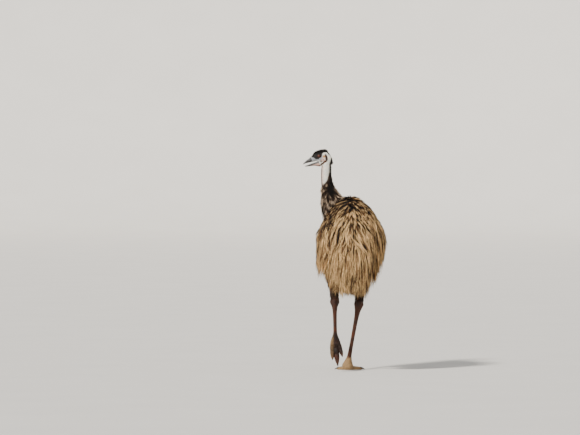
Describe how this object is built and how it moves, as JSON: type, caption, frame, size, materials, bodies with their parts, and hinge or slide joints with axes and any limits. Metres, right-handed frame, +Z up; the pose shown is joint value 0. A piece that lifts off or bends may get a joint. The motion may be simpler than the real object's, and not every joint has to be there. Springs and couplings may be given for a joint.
{
  "type": "emu",
  "caption": "Life-size still model of an emu walking away, one foot planted and the other lifted, with its head turned to the side.",
  "frame": {"origin": "on the floor, under the toe joint of the planted right foot", "axes": "+Z up; +Y the way the bird walks, away from the picture's camera; +X to the bird's right"},
  "size_m": [0.5408, 0.9106, 1.4415],
  "materials": {
    "body_feathers": "long loose shaggy drooping feathers, tawny brown with buff edges and dark tips",
    "tail_feathers": "long drooping buff-brown plumes",
    "neck_feathers": "short dark hair-like feathers with pale wisps",
    "neck_skin": "bare bluish-white wrinkled skin",
    "head_skin": "dark skin with bristly black-brown feathers",
    "bill_horn": "satin grey-brown horn",
    "eye": "wet gloss, red-brown iris",
    "leg_feathers": "close brown feathers",
    "leg_skin": "dark brown scaled skin",
    "foot_skin": "dusty grey-brown scaled skin",
    "claw_horn": "satin black horn"
  },
  "bodies": {
    "root": {"head": "head_skin", "bill_upper": "bill_horn", "bill_lower": "bill_horn", "eye_left": "eye", "eye_right": "eye", "neck_upper": "neck_skin", "neck_middle": "neck_feathers", "neck_lower": "neck_feathers", "breast": "body_feathers", "torso": "body_feathers", "rump": "body_feathers", "tail": "tail_feathers", "wing_left": "body_feathers", "wing_right": "body_feathers", "thigh_left": "leg_feathers", "tarsus_left": "leg_skin", "foot_left": "foot_skin", "toe_inner_left": "foot_skin", "claw_inner_left": "claw_horn", "toe_middle_left": "foot_skin", "claw_middle_left": "claw_horn", "toe_outer_left": "foot_skin", "claw_outer_left": "claw_horn", "thigh_right": "leg_feathers", "tarsus_right": "leg_skin", "foot_right": "foot_skin", "toe_inner_right": "foot_skin", "claw_inner_right": "claw_horn", "toe_middle_right": "foot_skin", "claw_middle_right": "claw_horn", "toe_outer_right": "foot_skin", "claw_outer_right": "claw_horn"}
  },
  "joints": []
}
